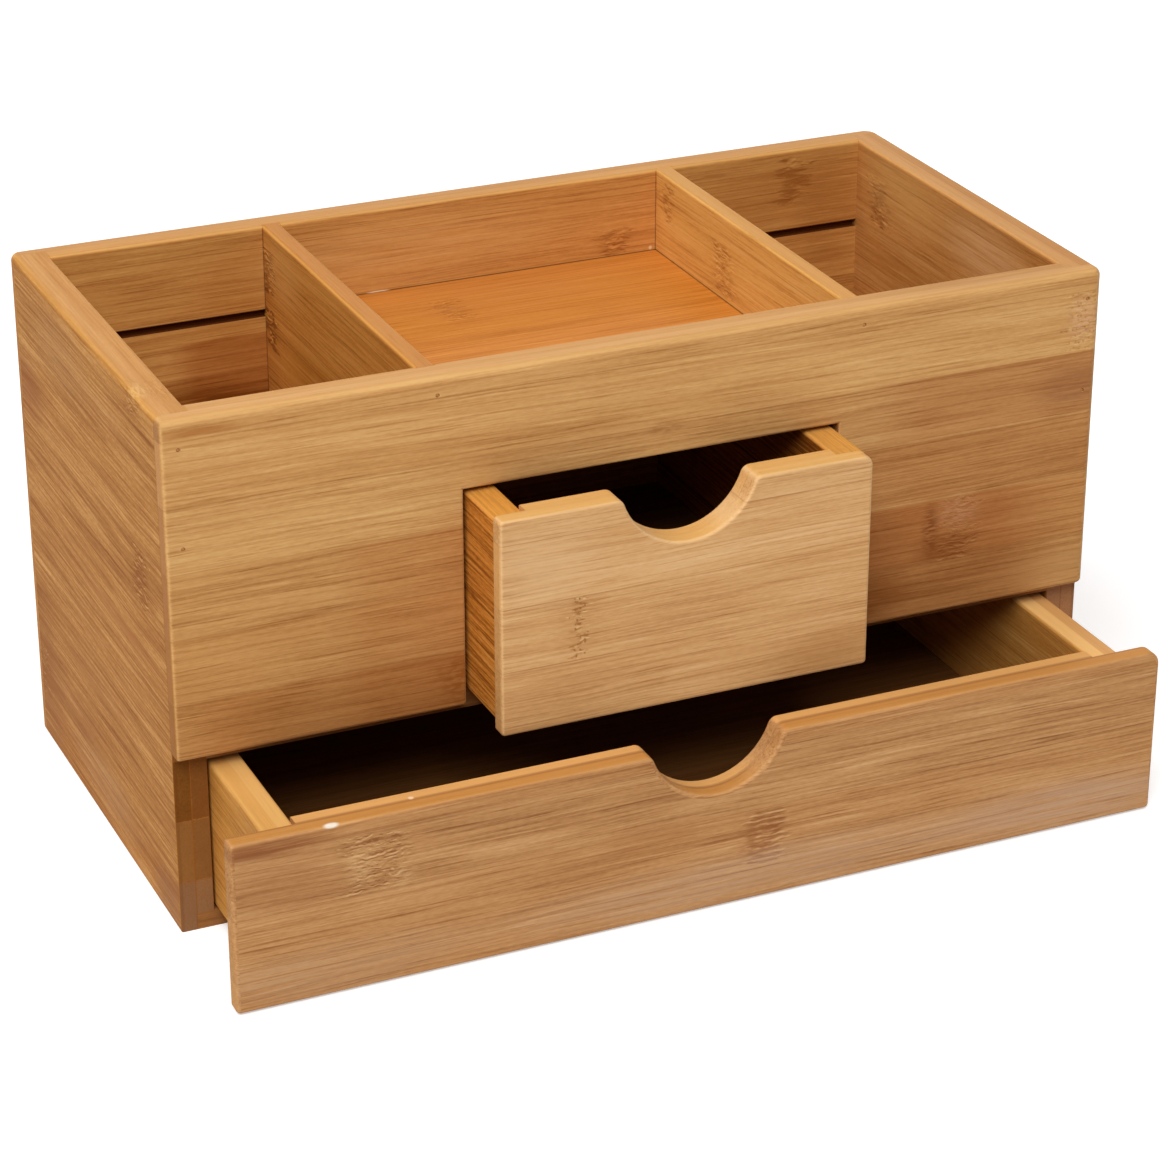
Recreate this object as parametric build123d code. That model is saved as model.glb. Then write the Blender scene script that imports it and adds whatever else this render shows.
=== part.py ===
from build123d import *
import os

# Bamboo drawer organizer: a box with a wide drawer below, a narrow drawer in the middle
# of its front board, two deep bins beside the narrow drawer and a shallow tray above it.
# Millimetres, +Z up. The front faces -Y. The origin is the centre of the box's underside.

# Stack of heights, from the table to the rim
FRONT_LIFT = 0.5            # large drawer front above the table
LARGE_FRONT_H = 54.5        # height of the large drawer front
SHELF_CLEAR = 0.6           # large drawer front below the shelf
SHELF_T = 6.8               # shelf thickness
OPENING_H = 65.6            # small drawer opening, above the shelf
TRAY_ABOVE = 5.9            # tray floor's underside above the opening
TRAY_T = 2.4                # tray floor thickness
TRAY_DEPTH = 27.7           # rim above the tray floor

# Row of widths, from the middle to one side
OPENING_W = 121.0           # small drawer opening
DIVIDER_SET = 4.5           # divider's inner face beyond the opening's edge
DIVIDER_T = 6.0             # divider thickness
BIN_W = 68.6                # inside width of a side bin
BOARD = 10.4                # side, front and back board thickness

# Depth
BIN_D = 129.2               # inside depth, front board to back board
LIP = 5.0                   # board left over a rabbet, in front of the edge that it covers

# Joints in the box
PANEL_T = 5.4               # bottom panel thickness
PANEL_SEAT = 5.2            # bottom panel's seat in a side's rabbet
SHELF_SEAT = 2.5            # shelf tongue in a side's groove
TONGUE_BACK = 12.0          # shelf tongue's start behind the shelf's front edge
SHELF_COVER = 3.6           # front board's lower edge below the shelf's top
HOUSING = 1.5               # divider end in the front and back boards
TRAY_SEAT = 2.4             # groove for the tray floor, and its depth in each board
FIT = 0.05                  # glued joints: clearance on each side

# Drawers
DRAWER_T = 10.0             # drawer front, side and back thickness
SLIDE = 0.3                 # drawer's lower edges above what they slide on
LARGE_PLAY = 0.8            # large drawer to a side board
SMALL_PLAY = 1.0            # small drawer to the opening's edge
FRONT_CLEAR = 0.5           # small drawer front inside the opening, above and below
SIDE_DROP = 0.8             # drawer sides below the top of their front
BACK_PLAY = 1.6             # closed drawer's back to the back board
CLOSE_GAP = 0.3             # closed front's lip to the edges that it covers
BASE_T = 3.0                # drawer base thickness
BASE_UP = 4.0               # drawer base above the sides' lower edges
BASE_SEAT = 3.0             # drawer base in its grooves
LARGE_OUT = 45.4            # large drawer as it stands, pulled out from closed
SMALL_OUT = 24.0            # small drawer as it stands, pulled out from closed

# Finger notches
NOTCH_R = 21.8              # notch radius
NOTCH_DEPTH = 16.4          # notch below the front's top
SHOULDER_R = 3.0            # rounding where a notch meets the top

# Brads
BRAD_D = 1.2                # brad diameter
BRAD_L = 22.0               # brad length
BRAD_SUNK = 0.25            # brad head below the face
BRAD_FIT = 0.03             # brad hole, larger on each side
BRAD_RIM = 9.0              # top row of brads below the rim
BRAD_PITCH = 30.0           # second row below the first
DIVIDER_BRAD = 5.5          # brad into a divider, below the rim
DRAWER_BRAD_L = 20.0        # drawer brad length
DRAWER_BRAD_EDGE = 12.0     # drawer brads from a side's edges

# Rounded edges
FRONT_LEFT_R = 1.4          # upright outer corners: front left
FRONT_RIGHT_R = 3.2         # front right
BACK_LEFT_R = 3.0           # back left
BACK_RIGHT_R = 4.8          # back right
RIM_R = 2.4                 # outer rim
FOOT_R = 1.0                # outer lower edge
EASE_R = 1.2                # inner rim of the bins and the tray
OPENING_R = 1.0             # front edges of the opening and of the front board's foot
OPENING_CORNER_R = 1.2      # lower corners of the opening
SEAM_R = 0.4                # side board's edge at the front and back boards
FACE_R = 1.2                # front edges of a drawer front
BACK_R = 0.8                # back edges of a drawer front
FRONT_FOOT_R = 1.3          # lower corners of a drawer front
FRONT_TOP_LEFT_R = 1.6      # its upper left corner
LARGE_TOP_RIGHT_R = 4.4     # upper right corner of the large drawer front
SMALL_TOP_RIGHT_R = 3.2     # upper right corner of the small drawer front
BAR_R = 1.4                 # long edges of the drawer sides and backs

# Levels
SHELF_Z = FRONT_LIFT + LARGE_FRONT_H + SHELF_CLEAR
SHELF_TOP = SHELF_Z + SHELF_T
OPENING_TOP = SHELF_TOP + OPENING_H
TRAY_Z = OPENING_TOP + TRAY_ABOVE
TRAY_TOP = TRAY_Z + TRAY_T
HEIGHT = TRAY_TOP + TRAY_DEPTH
FOOT_Z = SHELF_TOP - SHELF_COVER

# Places across and along the box
INNER_X = OPENING_W / 2 + DIVIDER_SET
OUTER_X = INNER_X + DIVIDER_T
WALL_X = OUTER_X + BIN_W
END_X = WALL_X + BOARD
FACE_Y = BIN_D / 2 + BOARD
WALL_Y = BIN_D / 2
SEAM_Y = FACE_Y - LIP

# Drawer length, from the front's face to the back
DRAWER_L = FACE_Y + WALL_Y - BACK_PLAY

OVER = 1.0                  # cutting tools reach past what they cut


def block(x0, x1, y0, y1, z0, z1):
    """A plain block between two corners."""
    size = Box(x1 - x0, y1 - y0, z1 - z0)
    return Pos((x0 + x1) / 2, (y0 + y1) / 2, (z0 + z1) / 2) * size


def edges_near(shape, direction, x=None, y=None, z=None):
    """The edges along a direction whose middles have the given coordinates."""
    found = ShapeList()
    for edge in shape.edges().filter_by(direction):
        middle = edge @ 0.5
        wanted = zip((x, y, z), (middle.X, middle.Y, middle.Z))
        if all(want is None or abs(want - have) < 1e-4 for want, have in wanted):
            found.append(edge)
    return found


def brad(place, direction, length, grow=0.0, ahead=0.0):
    """A brad, or with grow and ahead the hole that it needs."""
    plane = Plane(origin=place, z_dir=direction)
    start = BRAD_SUNK - ahead
    shank = Cylinder(BRAD_D / 2 + grow, length + ahead + grow, align=(Align.CENTER, Align.CENTER, Align.MIN))
    return plane * (Pos(0, 0, start) * shank)


def brads(places, direction):
    """A group of separate brads in the box."""
    return Compound([brad(place, direction, BRAD_L) for place in places])


def holed(shape, places, direction, length):
    """The shape with a hole for each brad."""
    for place in places:
        shape = shape - brad(place, direction, length, BRAD_FIT, OVER)
    return shape


def end_brads(y):
    """Places of the brads in the front or back board: two in each side, one in each divider."""
    side_x = WALL_X + BOARD / 2
    divider_x = INNER_X + DIVIDER_T / 2
    places = []
    for hand in (-1, 1):
        for row in range(2):
            places.append((hand * side_x, y, HEIGHT - BRAD_RIM - row * BRAD_PITCH))
        places.append((hand * divider_x, y, HEIGHT - DIVIDER_BRAD))
    return places


def box_outline():
    """The whole box as one block with its outer edges rounded."""
    whole = block(-END_X, END_X, -FACE_Y, FACE_Y, 0, HEIGHT)
    whole = fillet(edges_near(whole, Axis.Z, x=END_X, y=-FACE_Y), FRONT_RIGHT_R)
    whole = fillet(edges_near(whole, Axis.Z, x=-END_X, y=FACE_Y), BACK_LEFT_R)
    whole = fillet(edges_near(whole, Axis.Z, x=END_X, y=FACE_Y), BACK_RIGHT_R)
    whole = fillet(whole.faces().sort_by(Axis.Z)[-1].edges(), RIM_R)
    whole = fillet(whole.faces().sort_by(Axis.Z)[0].edges(), FOOT_R)
    # The front left corner is sharper than the rim, so it is cut last
    cutter = block(-END_X, END_X + OVER, -FACE_Y, FACE_Y + OVER, -OVER, HEIGHT + OVER)
    cutter = fillet(edges_near(cutter, Axis.Z, x=-END_X, y=-FACE_Y), FRONT_LEFT_R)
    return whole & cutter


def rim_easing(x0, x1):
    """What the rounding of one compartment's inner rim takes away."""
    reach = 2 * EASE_R
    low = HEIGHT - reach
    frame = block(x0 - reach, x1 + reach, -WALL_Y - reach, WALL_Y + reach, low, HEIGHT)
    frame = frame - block(x0, x1, -WALL_Y, WALL_Y, low - OVER, HEIGHT + OVER)
    inner = ShapeList()
    inner += edges_near(frame, Axis.X, y=-WALL_Y, z=HEIGHT)
    inner += edges_near(frame, Axis.X, y=WALL_Y, z=HEIGHT)
    inner += edges_near(frame, Axis.Y, x=x0, z=HEIGHT)
    inner += edges_near(frame, Axis.Y, x=x1, z=HEIGHT)
    frame = fillet(inner, EASE_R)
    around = block(x0 - EASE_R, x1 + EASE_R, -WALL_Y - EASE_R, WALL_Y + EASE_R, low, HEIGHT)
    return around - frame


def rim_easings():
    """The three compartments' rim roundings."""
    return [rim_easing(-WALL_X, -OUTER_X), rim_easing(-INNER_X, INNER_X), rim_easing(OUTER_X, WALL_X)]


def eased(board, outline, easings):
    """A board cut to the box's rounded outline and rims."""
    board = board & outline
    for easing in easings:
        board = board - easing
    return board


def tray_groove(x0, x1, y0, y1):
    """A groove that takes the tray floor's edge."""
    return block(x0, x1, y0, y1, TRAY_Z - FIT, TRAY_TOP + FIT)


def divider_housings(y0, y1):
    """Grooves that take the dividers' ends, from the shelf to the rim."""
    left = block(-OUTER_X - FIT, -INNER_X + FIT, y0, y1, SHELF_TOP, HEIGHT + OVER)
    return left + mirror(left, about=Plane.YZ)


def side_panel(outline, easings):
    """The left side board, with its grooves for the shelf and the bottom panel."""
    panel = block(-END_X, -WALL_X, -SEAM_Y, SEAM_Y, 0, HEIGHT)
    seams = edges_near(panel, Axis.Z, x=-END_X)
    panel = fillet(seams, SEAM_R)
    panel = eased(panel, outline, easings)
    groove_y = TONGUE_BACK - SEAM_Y - FIT
    panel = panel - block(-WALL_X - SHELF_SEAT - FIT, -WALL_X + OVER, groove_y, WALL_Y, SHELF_Z, SHELF_TOP)
    panel = panel - block(-WALL_X - PANEL_SEAT - FIT, -WALL_X + OVER, -FACE_Y, WALL_Y + FIT, -OVER, PANEL_T)
    panel = holed(panel, end_brads(-FACE_Y)[:2], (0, 1, 0), BRAD_L)
    return holed(panel, end_brads(FACE_Y)[:2], (0, -1, 0), BRAD_L)


def front_fascia(outline, easings):
    """The front board: rabbeted ends and foot, and the opening for the small drawer."""
    board = block(-END_X, END_X, -FACE_Y, -SEAM_Y, FOOT_Z, HEIGHT)
    board = board + block(-WALL_X, WALL_X, -SEAM_Y, -WALL_Y, SHELF_TOP, HEIGHT)
    board = eased(board, outline, easings)
    half = OPENING_W / 2
    board = board - block(-half, half, -FACE_Y - OVER, -WALL_Y + OVER, FOOT_Z - OVER, OPENING_TOP)
    corners = edges_near(board, Axis.Y, x=-half, z=FOOT_Z) + edges_near(board, Axis.Y, x=half, z=FOOT_Z)
    board = fillet(corners, OPENING_CORNER_R)
    front = board.faces().sort_by(Axis.Y)[0]
    limit_x = END_X - FRONT_RIGHT_R - OPENING_R
    limit_z = HEIGHT - RIM_R - OPENING_R
    exposed = ShapeList()
    for edge in front.edges():
        middle = edge @ 0.5
        if abs(middle.X) < limit_x and middle.Z < limit_z:
            exposed.append(edge)
    board = fillet(exposed, OPENING_R)
    board = board - tray_groove(-WALL_X, WALL_X, -WALL_Y - TRAY_SEAT - FIT, -WALL_Y + OVER)
    board = board - divider_housings(-WALL_Y - HOUSING - FIT, -WALL_Y + OVER)
    return holed(board, end_brads(-FACE_Y), (0, 1, 0), BRAD_L)


def back_board(outline, easings):
    """The back board: rabbeted ends, and the groove that shows as a slot in both bins."""
    board = block(-END_X, END_X, SEAM_Y, FACE_Y, 0, HEIGHT)
    board = board + block(-WALL_X, WALL_X, WALL_Y, SEAM_Y, 0, HEIGHT)
    board = eased(board, outline, easings)
    board = board - tray_groove(-WALL_X, WALL_X, WALL_Y - OVER, WALL_Y + TRAY_SEAT + FIT)
    board = board - divider_housings(WALL_Y - OVER, WALL_Y + HOUSING + FIT)
    return holed(board, end_brads(FACE_Y), (0, -1, 0), BRAD_L)


def divider(easings):
    """The left divider, housed in the front and back boards and grooved for the tray floor."""
    end_y = WALL_Y + HOUSING
    wall = block(-OUTER_X, -INNER_X, -end_y, end_y, SHELF_TOP, HEIGHT)
    for easing in easings:
        wall = wall - easing
    wall = wall - tray_groove(-INNER_X - TRAY_SEAT - FIT, -INNER_X + OVER, -end_y - OVER, end_y + OVER)
    wall = holed(wall, end_brads(-FACE_Y)[2:3], (0, 1, 0), BRAD_L)
    return holed(wall, end_brads(FACE_Y)[2:3], (0, -1, 0), BRAD_L)


def tray_floor():
    """The tray's thin floor, let into the dividers and the front and back boards."""
    x = INNER_X + TRAY_SEAT
    y = WALL_Y + TRAY_SEAT
    return block(-x, x, -y, y, TRAY_Z, TRAY_TOP)


def shelf_board():
    """The shelf between the drawers, with a tongue at each end."""
    x = WALL_X + SHELF_SEAT
    board = block(-WALL_X, WALL_X, -SEAM_Y, WALL_Y, SHELF_Z, SHELF_TOP)
    return board + block(-x, x, TONGUE_BACK - SEAM_Y, WALL_Y, SHELF_Z, SHELF_TOP)


def bottom_panel():
    """The thin panel that closes the box below, let into the sides."""
    x = WALL_X + PANEL_SEAT
    return block(-x, x, -SEAM_Y, WALL_Y, 0, PANEL_T)


def notched_outline(half, z0, z1, top_right_r):
    """A drawer front's outline: rounded corners and a finger notch with rounded shoulders."""
    outline = Pos(0, (z0 + z1) / 2) * Rectangle(2 * half, z1 - z0)
    foot = outline.vertices().group_by(Axis.Y)[0]
    outline = fillet(foot, FRONT_FOOT_R)
    top_left = outline.vertices().group_by(Axis.Y)[-1].sort_by(Axis.X)[0]
    outline = fillet(top_left, FRONT_TOP_LEFT_R)
    top_right = outline.vertices().group_by(Axis.Y)[-1].sort_by(Axis.X)[-1]
    outline = fillet(top_right, top_right_r)
    outline = outline - Pos(0, z1 - NOTCH_DEPTH + NOTCH_R) * Circle(NOTCH_R)
    shoulders = outline.vertices().sort_by(lambda corner: abs(corner.X))[:2]
    return fillet(shoulders, SHOULDER_R)


def drawer_front(end, half, base_z, z0, z1, top_right_r):
    """A closed drawer's front, rabbeted at its foot and at both ends, where the sides fit."""
    board = extrude(Plane.XZ * notched_outline(end, z0, z1, top_right_r), amount=DRAWER_T)
    board = Pos(0, -FACE_Y - board.bounding_box().min.Y, 0) * board
    board = fillet(board.faces().sort_by(Axis.Y)[0].edges(), FACE_R)
    board = fillet(board.faces().sort_by(Axis.Y)[-1].edges(), BACK_R)
    lip_y = LIP - FACE_Y
    back_y = DRAWER_T + OVER - FACE_Y
    inner = half - DRAWER_T
    rabbet = block(inner, end + OVER, lip_y, back_y, z0 - OVER, z1 + OVER)
    board = board - rabbet - mirror(rabbet, about=Plane.YZ)
    return board - block(-end - OVER, end + OVER, lip_y, back_y, z0 - OVER, base_z)


def drawer_box(name, end, half, base_z, front_z, top_z, top_right_r):
    """One drawer, closed: end is half its front's width, half is half its width over the sides."""
    side_top = top_z - SIDE_DROP
    inner = half - DRAWER_T
    start = LIP - FACE_Y
    stop = DRAWER_L - FACE_Y
    front_inside = DRAWER_T - FACE_Y
    back_inside = stop - DRAWER_T
    base_low = base_z + BASE_UP
    base = block(
        -inner - BASE_SEAT, inner + BASE_SEAT,
        front_inside - BASE_SEAT, back_inside + BASE_SEAT,
        base_low, base_low + BASE_T)
    groove = block(
        -inner - BASE_SEAT - FIT, inner + BASE_SEAT + FIT,
        front_inside - BASE_SEAT - FIT, back_inside + BASE_SEAT + FIT,
        base_low - FIT, base_low + BASE_T + FIT)

    side = block(-half, -inner, start, stop, base_z, side_top)
    side = fillet(side.edges().filter_by(Axis.Y), BAR_R)
    side = side - groove
    back = block(-inner, inner, back_inside, stop, base_z, side_top)
    back = fillet(edges_near(back, Axis.X, z=side_top), BAR_R)
    back = back - groove

    brad_y = stop - DRAWER_T / 2
    rows = (base_z + DRAWER_BRAD_EDGE, side_top - DRAWER_BRAD_EDGE)
    left = [(-half, brad_y, z) for z in rows]
    right = [(half, brad_y, z) for z in rows]
    side = holed(side, left, (1, 0, 0), DRAWER_BRAD_L)
    back = holed(back, left, (1, 0, 0), DRAWER_BRAD_L)
    back = holed(back, right, (-1, 0, 0), DRAWER_BRAD_L)
    pins = [brad(place, (1, 0, 0), DRAWER_BRAD_L) for place in left]
    pins += [brad(place, (-1, 0, 0), DRAWER_BRAD_L) for place in right]

    front = drawer_front(end, half, base_z, front_z, top_z, top_right_r) - groove
    return {
        name + "_front": front,
        name + "_left_side": side,
        name + "_right_side": mirror(side, about=Plane.YZ),
        name + "_back": back,
        name + "_base": base,
        name + "_brads": Compound(pins),
    }


def pulled(pieces, distance):
    """The pieces of a drawer, moved out from closed."""
    return {name: Pos(0, -CLOSE_GAP - distance, 0) * piece for name, piece in pieces.items()}


def box_pieces():
    """The pieces of the box itself."""
    outline = box_outline()
    easings = rim_easings()
    right_outline = mirror(outline, about=Plane.YZ)
    wall = divider(easings)
    return {
        "left_side_panel": side_panel(outline, easings),
        "right_side_panel": mirror(side_panel(right_outline, easings), about=Plane.YZ),
        "front_fascia": front_fascia(outline, easings),
        "back_board": back_board(outline, easings),
        "left_divider": wall,
        "right_divider": mirror(wall, about=Plane.YZ),
        "tray_floor": tray_floor(),
        "shelf_board": shelf_board(),
        "bottom_panel": bottom_panel(),
        "front_brads": brads(end_brads(-FACE_Y), (0, 1, 0)),
        "back_brads": brads(end_brads(FACE_Y), (0, -1, 0)),
    }


def large_drawer():
    """The wide drawer, whose front covers the sides' front edges."""
    top = FRONT_LIFT + LARGE_FRONT_H
    half = WALL_X - LARGE_PLAY
    pieces = drawer_box("large_drawer", END_X, half, PANEL_T + SLIDE, FRONT_LIFT, top, LARGE_TOP_RIGHT_R)
    return pulled(pieces, LARGE_OUT)


def small_drawer():
    """The narrow drawer, whose front fills the opening and covers the shelf's edge."""
    half = OPENING_W / 2 - SMALL_PLAY
    foot = FOOT_Z + FRONT_CLEAR
    top = OPENING_TOP - FRONT_CLEAR
    pieces = drawer_box("small_drawer", half, half, SHELF_TOP + SLIDE, foot, top, SMALL_TOP_RIGHT_R)
    return pulled(pieces, SMALL_OUT)


os.makedirs("parts", exist_ok=True)
for pieces in (box_pieces(), large_drawer(), small_drawer()):
    for node, piece in pieces.items():
        export_step(piece, "parts/" + node + ".step")
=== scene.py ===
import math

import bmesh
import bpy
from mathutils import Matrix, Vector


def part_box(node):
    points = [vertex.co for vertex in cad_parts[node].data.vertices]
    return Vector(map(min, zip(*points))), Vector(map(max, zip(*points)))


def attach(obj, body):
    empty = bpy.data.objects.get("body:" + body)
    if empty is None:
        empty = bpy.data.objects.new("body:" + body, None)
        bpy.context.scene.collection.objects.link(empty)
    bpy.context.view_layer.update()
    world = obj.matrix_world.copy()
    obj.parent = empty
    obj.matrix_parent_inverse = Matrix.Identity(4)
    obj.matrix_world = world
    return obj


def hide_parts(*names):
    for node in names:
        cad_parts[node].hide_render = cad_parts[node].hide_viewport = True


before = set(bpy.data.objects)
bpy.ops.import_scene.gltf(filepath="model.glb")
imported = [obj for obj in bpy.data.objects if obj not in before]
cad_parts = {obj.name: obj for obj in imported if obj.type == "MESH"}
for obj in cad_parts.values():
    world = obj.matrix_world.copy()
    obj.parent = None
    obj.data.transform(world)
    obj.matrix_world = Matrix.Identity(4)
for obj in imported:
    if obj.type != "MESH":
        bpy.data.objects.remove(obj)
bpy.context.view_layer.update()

# %% [markdown]
# # A bamboo drawer organizer
# The box is glued up from bamboo boards and pinned with thin wire brads. Two drawers slide in its front.
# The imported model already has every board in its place, so this script doesn't move or reshape one.
# It gives the boards their wood, makes the brads, and sets up the floor, the light and the camera.

MM = 0.001

# %% [markdown]
# ## Camera
# A camera is easiest to aim from the object's side: a target point on the object, the two angles that
# the view comes from, and a distance. The lens then only sets how much of the frame the object fills.

# %% Aim the camera
TARGET = Vector((1.9, -20.0, 62.3)) * MM
AZIMUTH = math.radians(-23.94)
ELEVATION = math.radians(25.26)
DISTANCE = 1126.0 * MM
LENS = 110.6
SENSOR = 36.0
NEAREST = 50.0 * MM

level = math.cos(ELEVATION)
toward_camera = Vector((math.sin(AZIMUTH) * level, -math.cos(AZIMUTH) * level, math.sin(ELEVATION)))
camera = bpy.data.objects.new("camera", bpy.data.cameras.new("camera"))
bpy.context.scene.collection.objects.link(camera)
camera.data.lens = LENS
camera.data.sensor_width = SENSOR
camera.data.clip_start = NEAREST
camera.location = TARGET + toward_camera * DISTANCE
camera.rotation_euler = toward_camera.to_track_quat("Z", "Y").to_euler()
bpy.context.scene.camera = camera
bpy.context.scene.view_settings.view_transform = "Standard"
print("camera at", [round(place, 3) for place in camera.location])

# %% [markdown]
# ## Shader maths
# A wood recipe is mostly arithmetic. Building it one Math node at a time is slow to read, so this
# small class wraps a node's output and lets Python's own signs add the nodes: `1 - mask` makes a
# Subtract node. Every other kind of node comes from one method, `node`.

# %% A wire that does arithmetic
class Wire:
    """One output of a shader node, or the start of a node tree."""

    def __init__(self, tree, socket=None):
        self.tree = tree
        self.socket = socket

    def node(self, kind, settings=None, values=None, out=0):
        """Adds a node: its settings first, then a value or a Wire for each named socket."""
        made = self.tree.nodes.new(kind)
        for name, value in (settings or {}).items():
            if name == "stops":
                ramp = made.color_ramp.elements
                while len(ramp) < len(value):
                    ramp.new(1.0)
                while len(ramp) > len(value):
                    ramp.remove(ramp[-1])
                for stop, (place, colour) in zip(ramp, value):
                    stop.position = place
                    stop.color = (*colour, 1.0)
            elif name == "interpolation":
                made.color_ramp.interpolation = value
            else:
                setattr(made, name, value)
        for name, value in (values or {}).items():
            if isinstance(value, Wire):
                self.tree.links.new(value.socket, made.inputs[name])
            else:
                made.inputs[name].default_value = value
        if isinstance(out, tuple):
            return [Wire(self.tree, made.outputs[one]) for one in out]
        return Wire(self.tree, made.outputs[out]) if len(made.outputs) else made

    def math(self, operation, *values):
        return self.node("ShaderNodeMath", {"operation": operation}, dict(enumerate(values)))

    def __add__(self, other):
        return self.math("ADD", self, other)

    def __sub__(self, other):
        return self.math("SUBTRACT", self, other)

    def __rsub__(self, other):
        return self.math("SUBTRACT", other, self)

    def __mul__(self, other):
        return self.math("MULTIPLY", self, other)

    def __truediv__(self, other):
        return self.math("DIVIDE", self, other)

    def __abs__(self):
        return self.math("ABSOLUTE", self)

    def __floor__(self):
        return self.math("FLOOR", self)

    __radd__ = __add__

    def between(self, low, high, start=0.0, end=1.0):
        """Rises smoothly from start to end while this value goes from low to high."""
        return self.node("ShaderNodeMapRange", {"interpolation_type": "SMOOTHSTEP"}, {
            "Value": self, "From Min": low, "From Max": high, "To Min": start, "To Max": end})

    def from_whole(self):
        """How far this value is from the nearest whole number."""
        return abs(self - math.floor(self + 0.5))

    def greatest(self, *others):
        """The greatest of this value and the others."""
        most = self
        for other in others:
            most = self.math("MAXIMUM", most, other)
        return most

    def vector(self, x, y, z):
        """Three values as one vector."""
        return self.node("ShaderNodeCombineXYZ", None, {"X": x, "Y": y, "Z": z})

    def parts(self, order="xyz"):
        """A vector as three values, in the order that is asked for, such as 'xzy'."""
        return self.node("ShaderNodeSeparateXYZ", None, {0: self}, out=tuple(order.upper()))

    def vector_math(self, operation, *vectors, out=0):
        return self.node("ShaderNodeVectorMath", {"operation": operation}, dict(enumerate(vectors)), out)

    def length(self):
        """How long a vector is."""
        return self.vector_math("LENGTH", self, out="Value")

    def mix(self, share, first, second, blend="MIX"):
        """Mixes two colours. Socket 6 and 7 are the Mix node's colours and output 2 is its colour."""
        return self.node("ShaderNodeMix", {"data_type": "RGBA", "blend_type": blend}, {
            0: share, 6: first, 7: second}, out=2)


# %% [markdown]
# ## Colours
# Colours are picked as a screen shows them, but a shader works with the amount of light.
# `tint` turns a screen colour into light.

# %% Screen colours to light, and empty materials
def tint(code):
    """'#D0A36A' as red, green and blue amounts of light."""
    parts = [int(code[i:i + 2], 16) / 255 for i in (1, 3, 5)]
    return tuple(p / 12.92 if p <= 0.04045 else ((p + 0.055) / 1.055) ** 2.4 for p in parts)


def paint(code):
    """The same, as a node's colour socket takes it."""
    return (*tint(code), 1.0)


def blank_material(name):
    """A material without nodes, and a Wire that adds them."""
    material = bpy.data.materials.new(name)
    material.use_nodes = True
    material.node_tree.nodes.clear()
    return material, Wire(material.node_tree)


# %% [markdown]
# ## How a bamboo board is made
# A bamboo stem is split into strips about 20 mm wide. They are planed, and glued edge to edge in layers,
# here two to a board. So a board's face shows strips of slightly different tone, its ends show
# blocks, and all the fibres run one way. The pattern below is a solid one: it is worked out from
# the place inside the board, in millimetres along the fibres, across the strips and through the
# layers. An edge that is rounded over then cuts through the same fibres as the faces beside it. Each
# strip, layer and board reads the pattern at another length of stem, so that no two look alike.

# %% A board's places
STRIP = 20.1
WANDER = 2.4
SLANT = 0.02
STEM_BETWEEN_STRIPS = 700.0
STEM_BETWEEN_BOARDS = 61.0
STEM_BETWEEN_LAYERS = 9.0
# How squarely a surface has to face one of a board's directions to count as that side of it
SQUARE_ON = (0.6, 0.95)


class Board:
    """One board's material, and what every part of the wood recipe reads: places, strip and layer."""

    def __init__(self, name, axes, seam, plies, seed):
        self.material, self.wire = blank_material(name)
        place = self.wire.node("ShaderNodeTexCoord", out="Object")
        in_mm = self.wire.node("ShaderNodeVectorMath", {"operation": "SCALE"}, {0: place, "Scale": 1 / MM})
        self.along, self.across, self.through = in_mm.parts(axes)
        self.place = self.wire.vector(self.along, self.across, self.through)
        face, self.ply = plies
        self.strips_up = (self.across - seam) / STRIP
        self.plies_in = (self.through - face) / self.ply
        self.strip = math.floor(self.strips_up)
        self.layer = math.floor(self.plies_in)
        normal = self.wire.node("ShaderNodeTexCoord", out="Normal")
        self.facing = [abs(side) for side in normal.parts(axes)]
        self.cut = self.facing[0].between(*SQUARE_ON)
        cell = self.wire.vector(self.strip, self.layer * math.floor(self.cut + 0.5), seed)
        chance = self.wire.node("ShaderNodeTexWhiteNoise", {"noise_dimensions": "3D"}, {0: cell}, out="Color")
        self.tone_luck, self.warm_luck, self.place_luck = chance.parts()
        self.fibres = self.follow_fibres(seed)

    def follow_fibres(self, seed):
        """The place again, but with fibres that wander a little and start afresh in each strip."""
        wander = self.noise((80.0, 14.0, 14.0), detail=1.0, at=self.place) - 0.5
        slant = (self.place_luck - 0.5) * SLANT
        return self.wire.vector(
            self.along + self.place_luck * STEM_BETWEEN_STRIPS + seed * STEM_BETWEEN_BOARDS,
            self.across + wander * WANDER + slant * self.along,
            self.through + self.layer * STEM_BETWEEN_LAYERS)

    def noise(self, lengths, detail=2.0, roughness=0.5, at=None):
        """Soft random values whose blobs are about as long, wide and deep as lengths says, in mm."""
        shrunk = self.wire.vector_math("DIVIDE", self.fibres if at is None else at, lengths)
        return self.wire.node("ShaderNodeTexNoise", None, {
            "Vector": shrunk, "Scale": 1.0, "Detail": detail, "Roughness": roughness})

    def local(self, centre, half, at=None):
        """The place as seen from a patch: 0 in its middle and 1 at its rim."""
        moved = self.wire.vector_math("SUBTRACT", self.place if at is None else at, centre)
        return self.wire.vector_math("DIVIDE", moved, half)

    def oval(self, centre, half, soft=0.8, at=None):
        """One in the middle of an oval patch, falling smoothly to nothing at its rim."""
        return self.local(centre, half, at).length().between(1 - soft, 1.0, 1.0, 0.0)

    def box(self, centre, half, soft=(0.3, 0.3, 0.3), at=None):
        """One inside a box-shaped patch, falling to nothing at its sides."""
        parts = self.local(centre, half, at).parts()
        inside = [abs(part).between(1 - edge, 1.0, 1.0, 0.0) for part, edge in zip(parts, soft)]
        return inside[0] * inside[1] * inside[2]


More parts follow.
